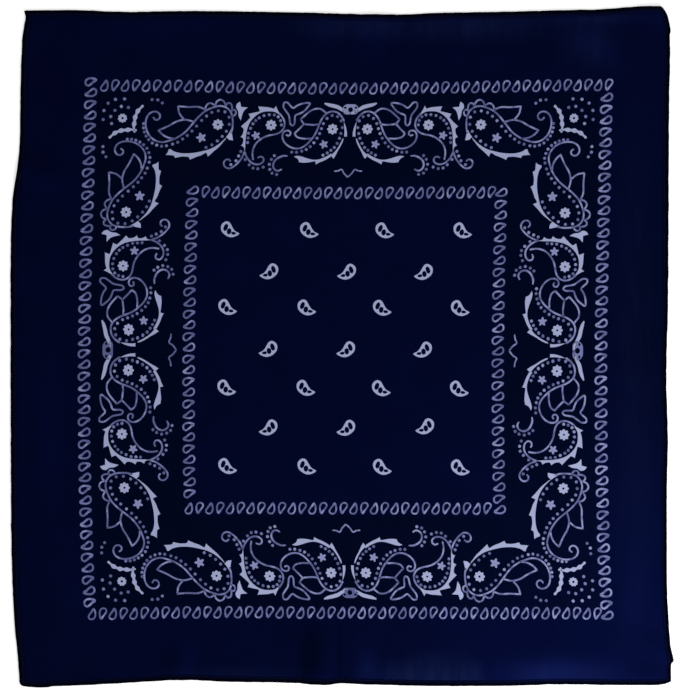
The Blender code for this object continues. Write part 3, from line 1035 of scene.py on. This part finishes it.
KNOT_HEART = (
    (0.0, 18.6), (1.9, 19.5), (2.6, 21.3), (1.8, 23.1), (0.0, 23.9), (-1.8, 23.1), (-2.6, 21.3),
    (-1.9, 19.5),
)
KNOT_EYE = ((3.8, 18.9), (5.4, 17.9), (6.9, 18.9), (6.4, 20.2), (4.6, 20.3))
KNOT_PIP = ((4.9, 22.8), (5.9, 22.2), (6.7, 23.1), (5.7, 23.9))
CHEVRON = ((13.4, 83.6), (9.9, 83.2), (6.9, 81.8), (4.0, 85.8), (0.0, 89.6))

# Flowers of the half side. Columns: tint, along, in, radius, petals, how deep they are cut
# as a share of the radius, how sharp they are, and the dark heart's radius.
FLOWERS = (
    (SOFT, 132.2, 37.7, 5.5, 8, 0.26, 1, 1.1),
    (FULL, 148.4, 51.1, 5.2, 5, 0.50, 2, 0.3),
    (SOFT, 79.3, 37.3, 5.5, 8, 0.26, 1, 1.0),
    (FULL, 94.1, 48.0, 4.6, 5, 0.50, 2, 0.3),
    (SOFT, 17.6, 41.0, 5.5, 8, 0.26, 1, 1.0),
    (FULL, 26.0, 56.4, 4.6, 5, 0.50, 2, 0.3),
)

# Single beads of the half side. Columns: along, in.
BEADS = (
    (205.4, 37.6), (205.4, 41.8), (204.4, 46.0), (202.6, 50.0), (200.0, 53.6), (196.4, 57.0),
    (192.0, 59.0), (187.2, 60.1), (182.4, 59.6), (176.4, 57.9), (171.4, 56.0), (166.7, 52.7),
    (162.2, 49.2), (157.7, 44.7), (153.3, 39.6), (148.4, 33.9), (143.7, 29.4), (138.6, 25.6),
    (132.2, 23.8), (125.6, 24.7), (121.3, 30.0), (120.9, 37.2), (123.6, 44.3), (127.6, 49.5),
    (132.3, 54.2), (137.6, 58.2), (143.4, 60.9), (117.8, 77.8), (108.7, 64.3), (110.7, 68.9),
    (113.1, 73.8), (104.0, 72.4), (99.5, 77.7), (95.4, 80.9), (90.6, 81.5), (85.4, 79.9),
    (69.0, 37.0), (69.9, 32.6), (72.4, 28.9), (76.4, 27.0), (81.4, 26.8), (86.6, 27.8),
    (91.3, 30.1), (94.7, 32.8), (97.4, 36.2), (99.6, 40.8), (101.6, 45.8), (101.9, 50.6),
    (102.2, 55.2), (75.2, 68.2), (78.0, 72.0), (79.6, 77.0), (78.6, 82.1), (76.0, 85.9),
    (71.2, 87.2), (58.0, 64.5), (53.2, 64.6), (48.0, 63.4), (43.5, 61.7), (39.6, 58.8),
    (36.0, 54.9), (33.0, 50.2), (30.6, 45.5), (28.8, 40.5), (27.0, 35.4), (23.5, 30.1),
    (18.4, 27.1), (12.9, 28.3), (9.1, 32.6), (7.8, 39.4), (9.0, 45.4), (10.3, 50.3), (12.6, 55.4),
    (15.3, 59.6), (18.7, 62.5), (22.3, 65.1), (26.5, 67.4),
)

# The corner, from the outer rows' crossing: how far along one row and how far in from it.
# The dots and the sprig are printed again with the two changed over. Columns: along, in,
# radius.
CORNER_DOTS = (
    (25.2, 14.0, 1.6), (34.2, 13.5, 1.6), (31.2, 21.0, 1.6), (38.2, 22.0, 1.6), (61.2, 14.0, 1.5),
    (66.8, 14.3, 1.6), (71.4, 17.3, 1.5),
)
CORNER_BEADS = ((17.8, 18.0, 1.6), (25.0, 25.0, 1.6))
# The corner's sprig has a line's width in place of the radius, and its flower the columns
# of the half side's flowers, without the tint.
CORNER_SPRIG = (
    (44.8, 46.2, 2.0), (44.4, 43.4, 1.8), (44.0, 41.4, 2.2), (44.4, 38.2, 4.6), (44.7, 35.0, 2.2),
    (45.1, 31.9, 4.7), (46.2, 28.6, 2.2), (47.7, 25.4, 4.5), (49.8, 22.9, 1.8), (51.9, 20.6, 2.6),
)
CORNER_FLOWER = (32.7, 32.7, 4.6, 9, 0.2, 1, 1.2)

# The half side's lines and solid shapes, in the order of printing.
FINE_LINES = (
    OUTER_PAISLEY_BACK,
    *OUTER_PAISLEY_LEAVES,
    *OUTER_PAISLEY_SCALLOPS,
    *MIDDLE_PAISLEY_LINES,
    SCROLL,
    INNER_PAISLEY_BACK,
    *INNER_PAISLEY_LEAVES,
)
SOFT_SHAPES = (OUTER_CRESCENT, MIDDLE_CROWN, INNER_LENS, INNER_TOOTH, INNER_CRESCENT)


# ---------------------------------------------------------------------------
# Curves.
# ---------------------------------------------------------------------------


def row_tangent(before, here, after):
    """The slope of a smooth curve at a row, by distance along it."""
    back = max(math.dist(before[:2], here[:2]), TINY)
    ahead = max(math.dist(here[:2], after[:2]), TINY)
    return [
        ((mid - low) / back * ahead + (high - mid) / ahead * back) / (back + ahead)
        for low, mid, high in zip(before, here, after)
    ]


def smooth(rows, closed=False):
    """Rows along a smooth curve through the given ones, about CURVE_STEP apart."""
    count = len(rows)
    path = []
    for start in range(count if closed else count - 1):
        picked = [start - 1, start, start + 1, start + 2]
        if closed:
            picked = [place % count for place in picked]
        before, here, there, after = (rows[min(max(place, 0), count - 1)] for place in picked)
        length = math.dist(here[:2], there[:2])
        slope_here = row_tangent(before, here, there)
        slope_there = row_tangent(here, there, after)
        if not closed and start == 0:
            slope_here = [(high - low) / length for low, high in zip(here, there)]
        if not closed and start == count - 2:
            slope_there = [(high - low) / length for low, high in zip(here, there)]
        parts = max(2, round(length / CURVE_STEP))
        for part in range(parts):
            t = part / parts
            keep, leave = (1 + 2 * t) * (1 - t) ** 2, t * (1 - t) ** 2 * length
            reach, arrive = t * t * (3 - 2 * t), -t * t * (1 - t) * length
            path.append(
                [
                    keep * low + leave * out + reach * high + arrive * into
                    for low, out, high, into in zip(here, slope_here, there, slope_there)
                ]
            )
    if not closed:
        path.append(list(rows[-1]))
    return path


def round_off(outline):
    """A closed outline with its curves made smooth and its sharp corners kept."""
    count = len(outline)
    sharp = []
    for place in range(count):
        before, here, after = outline[place - 1], outline[place], outline[(place + 1) % count]
        into = math.atan2(here[1] - before[1], here[0] - before[0])
        out = math.atan2(after[1] - here[1], after[0] - here[0])
        turn = (out - into + math.pi) % math.tau - math.pi
        if abs(turn) > SHARP_TURN:
            sharp.append(place)
    if not sharp:
        return smooth(outline, closed=True)
    path = []
    for start, end in zip(sharp, [*sharp[1:], sharp[0] + count]):
        stretch = [outline[place % count] for place in range(start, end + 1)]
        path += smooth(stretch)[:-1]
    return path


def slim(path, inset):
    """A closed path drawn in by a distance on all its sides, or out by a negative one."""
    area = sum(
        here[0] * there[1] - there[0] * here[1] for here, there in zip(path, path[1:] + path[:1])
    )
    side = inset if area > 0 else -inset
    return [
        (spot[0] - ahead[1] * side, spot[1] + ahead[0] * side)
        for spot, ahead in zip(path, headings(path, True))
    ]


def circle(along, inward, radius, sides):
    turns = [math.tau * side / sides for side in range(sides)]
    return [(along + radius * math.cos(turn), inward + radius * math.sin(turn)) for turn in turns]


def headings(path, closed):
    """The direction of travel at each row of a path."""
    count = len(path)
    found = []
    for place in range(count):
        if closed:
            before, after = path[place - 1], path[(place + 1) % count]
        else:
            before, after = path[max(place - 1, 0)], path[min(place + 1, count - 1)]
        east, north = after[0] - before[0], after[1] - before[1]
        length = math.hypot(east, north) or 1.0
        found.append((east / length, north / length))
    return found


def round_ends(path):
    """The path with a short rounded cap at each end."""
    ahead = headings(path, False)
    capped = list(path)
    for end, way in ((0, -1), (-1, 1)):
        x, y, width = path[end]
        caps = []
        for reach in CAP_STEPS:
            across = max(math.sqrt(1 - reach * reach) * width, THINNEST)
            out = way * reach * width / 2
            caps.append([x + ahead[end][0] * out, y + ahead[end][1] * out, across])
        capped = [*reversed(caps), *capped] if end == 0 else [*capped, *caps]
    return capped


# ---------------------------------------------------------------------------
# Drawing the print.
# ---------------------------------------------------------------------------


class Ink:
    """Collects the flat shapes of the print, each put in its place as it is drawn."""

    def __init__(self):
        self.points = []
        self.faces = []
        self.tints = []
        self.tint = FINE
        self.lean = 0.0
        self.place = None

    def put(self, outline):
        first = len(self.points)
        self.points += [self.place(*spot[:2]) for spot in outline]
        return list(range(first, len(self.points)))

    def tint_at(self, corner):
        """The tint at a point: fine lines are printed unevenly, and painted light makes them
        brighter towards the right.
        """
        if self.tint != FINE:
            return self.tint
        x, y = self.points[corner]
        patch = noise.noise(Vector((x / INK_PATCH, y / INK_PATCH, INK_SEED)))
        # painted light: brighter towards the right
        patch += self.lean + PAINTED_LIGHT_LEAN * x / HALF_WIDTH
        if patch > FULLER_ABOVE:
            return FULL
        return PALE if patch < PALER_BELOW else FINE

    def add_face(self, corners, like):
        self.faces.append(corners)
        self.tints.append(self.tint_at(like))

    def fill(self, outline, holes=()):
        """A solid shape, with any holes left open."""
        rings = [[Vector((*spot[:2], 0.0)) for spot in ring] for ring in (outline, *holes)]
        spots = self.put([spot for ring in rings for spot in ring])
        for corners in geometry.tessellate_polygon(rings):
            self.add_face(tuple(spots[corner] for corner in corners), spots[0])

    def ribbon(self, left, right, closed=False):
        """The strip between two lines with as many points."""
        left, right = self.put(left), self.put(right)
        pairs = list(zip(left, right))
        if closed:
            pairs.append(pairs[0])
        for (one, two), (four, three) in zip(pairs, pairs[1:]):
            self.add_face((one, two, three, four), one)

    def stroke(self, rows, closed=False, width=LINE):
        """A smooth line through rows of place, or of place and width."""
        path = smooth([(*row, width) if len(row) == 2 else row for row in rows], closed)
        if not closed:
            path = round_ends(path)
        left, right = [], []
        for here, ahead in zip(path, headings(path, closed)):
            half = here[2] / 2
            left.append((here[0] - ahead[1] * half, here[1] + ahead[0] * half))
            right.append((here[0] + ahead[1] * half, here[1] - ahead[0] * half))
        self.ribbon(left, right, closed)

    def dot(self, along, inward, radius=DOT):
        self.lean = THIN_LEAN
        self.fill(circle(along, inward, radius, DOT_SIDES))
        self.lean = 0.0

    def flower(self, along, inward, radius, petals, cut, sharpness, heart):
        """A flower of round or sharp petals with a small open heart."""
        steps = petals * STEPS_A_PETAL
        rim = []
        for step in range(steps):
            turn = math.tau * step / steps
            reach = radius * (1 - cut + cut * abs(math.cos(petals * turn / 2)) ** sharpness)
            rim.append((along + reach * math.cos(turn), inward + reach * math.sin(turn)))
        self.ribbon(circle(along, inward, heart, steps), rim, closed=True)


def settle(u, v):
    """A place of the flat printed square, in squares, on the cloth as it lies."""
    x, y = u * CHART_SQUARE, v * CHART_SQUARE
    fade = abs(y / (FRAME_HALF_LENGTH * CHART_SQUARE)) ** SAG_FADE
    bow = read_table(PRINT_BOW, y)
    sag = read_table(PRINT_SAG if y > 0 else PRINT_RISE, x) * fade
    share = min(max((abs(y) - DRIFT_FROM) / (DRIFT_WHOLE - DRIFT_FROM), 0.0), 1.0)
    drift = read_table(PRINT_DRIFT, x) * share
    return PRINT_MIDDLE_X + x + bow + drift, PRINT_MIDDLE_Y + y + sag


def turn_quarter(u, v, quarters):
    for _ in range(quarters):
        u, v = -v, u
    return u, v


def draw_out(along):
    """Where the chart's place along comes on a longer side, and how much deeper in."""
    for (low, low_out, low_deep), (high, high_out, high_deep) in zip(LONG_SIDE, LONG_SIDE[1:]):
        if along <= high:
            break
    share = (along - low) / (high - low)
    return low_out + (high_out - low_out) * share, low_deep + (high_deep - low_deep) * share


def side_placer(quarters, shift, longer, mirror):
    """A function that puts the half side's chart on one side of the border."""

    def place(along, inward):
        depth = FRAME_HALF_WIDTH if longer else FRAME_HALF_LENGTH
        if longer:
            out, deeper = draw_out(abs(along))
            along = math.copysign(out, along)
            inward += deeper
        return settle(*turn_quarter(mirror * along + shift, depth - inward, quarters))

    return place


def corner_placer(side_x, side_y, across, up, changed_over):
    """A function that puts the corner's chart in one corner of the border."""

    def place(along, inward):
        if changed_over:
            along, inward = inward, along
        return settle(side_x * (across - along), side_y * (up - inward))

    return place


def drop_placer(u, v, turn):
    """A function that puts the drop's chart at one place of a row, turned."""

    def place(ahead, beside):
        east = ahead * math.cos(turn) - beside * math.sin(turn)
        north = ahead * math.sin(turn) + beside * math.cos(turn)
        return settle(u + east, v + north)

    return place


def field_placer(u, v, moved, mirror):
    """A function that puts the small paisley's chart at one place of the field."""
    stray_x, stray_y = STRAY_OFFSET if (u, v) == STRAY else (0.0, 0.0)

    def place(across, up):
        east, north = u + moved + mirror * across, v + up + FIELD_TILT * u
        return settle(east + stray_x, north + stray_y)

    return place


def draw_half_side(ink, faded):
    """Everything of the border's half side, its tulip perhaps faded."""
    ink.tint = FINE
    for line in FINE_LINES:
        ink.stroke(line)
    ink.stroke(CHEVRON, width=THIN_LINE)
    for bead in BEADS:
        ink.dot(*bead)
    ink.tint = PALE if faded else FINE
    ink.stroke(TULIP, closed=True)
    ink.tint = SOLID
    for outline in (OUTER_PAISLEY_WEDGE, SPRIG):
        ink.fill(round_off(outline))
    ink.tint = SOFT
    for outline in SOFT_SHAPES:
        ink.fill(slim(round_off(outline), SLIM))
    ink.stroke(KNOT_LEAF)
    for ink.tint, *flower in FLOWERS:
        ink.flower(*flower)


def draw_knot(ink):
    """The knot in the middle of a side, with its heart, eyes and pips left open."""
    ink.tint = FINE
    holes = [
        [(side * along, inward) for along, inward in hole]
        for hole in (KNOT_EYE, KNOT_PIP)
        for side in (-1, 1)
    ]
    ink.fill(round_off(KNOT_OUTLINE), [KNOT_HEART, *holes])


def draw_half_corner(ink):
    """Half of a corner's dots and sprig."""
    ink.tint = FINE
    for dot in CORNER_DOTS:
        ink.dot(*dot)
    ink.tint = SOFT
    ink.stroke(CORNER_SPRIG)


def draw_corner_middle(ink):
    """The beads and the flower on a corner's own diagonal."""
    ink.tint = FINE
    for bead in CORNER_BEADS:
        ink.dot(*bead)
    ink.tint = SOFT
    ink.flower(*CORNER_FLOWER)


def draw_border(ink):
    for name, quarters, shift, longer in BORDER_SIDES:
        for mirror in (-1, 1):
            ink.place = side_placer(quarters, shift, longer, mirror)
            draw_half_side(ink, faded=(name, mirror) == FADED_TULIP)
        draw_knot(ink)
    for corner in CORNER_PLACES:
        for changed_over in (False, True):
            ink.place = corner_placer(*corner, changed_over)
            draw_half_corner(ink)
        draw_corner_middle(ink)


def draw_drops(ink):
    """The rows of drops, every second one the other way up."""
    ink.lean = THIN_LEAN
    for count, first, last, drawn, (heading, breadth), width, turned in DROP_ROWS:
        length = math.dist(first, last)
        line = [(ahead, beside * breadth, share * width) for ahead, beside, share in DROP]
        for drop in range(count):
            share = drop / (count - 1)
            share += drawn / length * math.sin(math.pi * share)
            u = first[0] + (last[0] - first[0]) * share
            v = first[1] + (last[1] - first[1]) * share
            turn = math.radians(heading + 180 * ((drop + turned) % 2))
            ink.place = drop_placer(u, v, turn)
            ink.stroke(line, closed=True)


def draw_field(ink):
    """The field's small paisleys, facing left and right by rows."""
    ink.tint = SOFT
    outline = slim(smooth(SMALL_PAISLEY, closed=True), FIELD_SLIM)
    holes = [slim(smooth(hole, closed=True), -HOLE_SPREAD) for hole in SMALL_PAISLEY_HOLES]
    groups = ((FIELD_ROWS, FIELD_COLUMNS, 1), (BETWEEN_ROWS, BETWEEN_COLUMNS, -1))
    for rows, columns, mirror in groups:
        for v, moved in rows:
            for u in columns:
                ink.place = field_placer(u, v, moved, mirror)
                ink.fill(outline, holes)


def draw(drawer):
    ink = Ink()
    drawer(ink)
    return ink


# ---------------------------------------------------------------------------
# Laying the print on the cloth.
# ---------------------------------------------------------------------------

PRINT_GAP = 0.05 * MM
CLEAR_HEIGHT = 1.0  # far above or below the cloth, to look for its surface from


def surface_tree(piece):
    """The piece's faces, for finding heights on it."""
    points = [vertex.co.copy() for vertex in piece.data.vertices]
    faces = [tuple(face.vertices) for face in piece.data.polygons]
    return BVHTree.FromPolygons(points, faces)


def lay_print(name, ink, tree, materials, below=False):
    """The ink as a thin mesh on the cloth's face, or on its reverse."""
    way = Vector((0, 0, 1 if below else -1))
    start = -CLEAR_HEIGHT if below else CLEAR_HEIGHT
    shape = bmesh.new()
    spots = []
    for x, y in ink.points:
        hit = tree.ray_cast(Vector((x, y, start)), way)[0]
        height = max(hit.z - way.z * PRINT_GAP, 0.0)
        spots.append(shape.verts.new((x, y, height)))
    for face, tint in zip(ink.faces, ink.tints):
        made = shape.faces.new([spots[corner] for corner in face])
        made.material_index = min(tint, len(materials) - 1)
        made.normal_update()
        if made.normal.z * way.z > 0:
            made.normal_flip()
    return finish_object(name, shape, *materials)


# ---------------------------------------------------------------------------
# Stage, light and camera.
# ---------------------------------------------------------------------------

PICTURE_ROWS = 699
FRAME_HEIGHT = PICTURE_ROWS * CHART_SQUARE  # the view's height over the cloth
CAMERA_AIM = Vector((-1.34 * MM, -2.34 * MM, 0.0))
CAMERA_DISTANCE = 5.0
CAMERA_REACH = (0.1, 60.0)  # nearest and furthest that it sees
SENSOR = 36.0
FLOOR_SIZE = 30.0
FLOOR_DEPTH = 0.2 * MM
MIDDLE = (0.0, 0.0, 0.0)


def make_floor(material):
    shape = bmesh.new()
    half = FLOOR_SIZE / 2
    corners = ((-half, -half), (half, -half), (half, half), (-half, half))
    shape.faces.new([shape.verts.new((x, y, -FLOOR_DEPTH)) for x, y in corners])
    floor = finish_object("floor", shape, material)


def make_light(name, place, aim, size, power):
    lamp = bpy.data.lights.new(name, "AREA")
    lamp.shape = "DISK"
    lamp.size = size
    lamp.energy = power
    made = bpy.data.objects.new(name, lamp)
    bpy.context.scene.collection.objects.link(made)
    made.location = place
    made.rotation_euler = (Vector(aim) - Vector(place)).to_track_quat("-Z", "Y").to_euler()
    made.visible_camera = False


def make_world(lighting, backdrop):
    """Even white light all round, seen behind the cloth at its own strength."""
    world = bpy.data.worlds.new("studio")
    world.use_nodes = True
    tree = world.node_tree
    background = tree.nodes["Background"]
    background.inputs["Color"].default_value = (1.0, 1.0, 1.0, 1.0)
    seen = add_node(tree, "ShaderNodeLightPath").outputs["Is Camera Ray"]
    strength = calculate(tree, "MULTIPLY_ADD", seen, backdrop - lighting, lighting)
    tree.links.new(strength, background.inputs["Strength"])
    bpy.context.scene.world = world


def make_camera():
    """A long lens straight above the cloth."""
    lens = bpy.data.cameras.new("camera")
    lens.sensor_width = SENSOR
    lens.lens = SENSOR * CAMERA_DISTANCE / FRAME_HEIGHT
    lens.clip_start, lens.clip_end = CAMERA_REACH
    camera = bpy.data.objects.new("camera", lens)
    bpy.context.scene.collection.objects.link(camera)
    camera.location = CAMERA_AIM + Vector((0, 0, CAMERA_DISTANCE))
    bpy.context.scene.camera = camera


def set_colours():
    view = bpy.context.scene.view_settings
    view.view_transform = "Standard"
    view.look = "None"
    view.exposure = 0.0
    view.gamma = 1.0


def make_prints(cloth):
    """The print's three parts on the cloth's face, and showing through on its reverse."""
    whites = [make_print(name, colour) for name, colour in PRINT_TINTS]
    shadow = [make_print("print_showing_through", PRINT_SHADOW)]
    tree = surface_tree(cloth)
    parts = {"drops": draw(draw_drops), "border": draw(draw_border), "field": draw(draw_field)}
    prints = [lay_print("print_" + name, ink, tree, whites) for name, ink in parts.items()]
    for name, ink in parts.items():
        prints.append(lay_print(f"print_{name}_reverse", ink, tree, shadow, below=True))
    return prints


def main():
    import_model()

    navy = make_navy_cotton("navy_cotton")
    hem_navy = make_navy_cotton("navy_hem", shaded_hem=True)
    side_reach = HALF_LENGTH - HEM_WIDTH / 2  # side hems end inside the upper and lower ones
    hems = (
        Hem("top", across=True, side=1, edge_at=HALF_LENGTH, reach=HALF_WIDTH, seed=1.0),
        Hem("bottom", across=True, side=-1, edge_at=HALF_LENGTH, reach=HALF_WIDTH, seed=21.0),
        Hem("left", across=False, side=-1, edge_at=HALF_WIDTH, reach=side_reach, seed=41.0),
        Hem("right", across=False, side=1, edge_at=HALF_WIDTH, reach=side_reach, seed=61.0),
    )
    cloth = make_cloth(navy)
    edges = [make_hem(hem, hem_navy) for hem in hems]
    stitching = make_stitching(hems, make_thread("navy_thread"))
    prints = make_prints(cloth)

    for piece in (cloth, *edges, stitching, *prints):
        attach(piece, "root")
    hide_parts("panel")
    for hem, edge in zip(hems, edges):
        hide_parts("hem_" + hem.name)

    make_floor(make_floor_material("pale_floor"))
    make_world(lighting=0.62, backdrop=1.0)
    make_light("key", place=(0.75, -0.85, 0.65), aim=MIDDLE, size=0.6, power=13.0)
    make_camera()
    set_colours()


main()
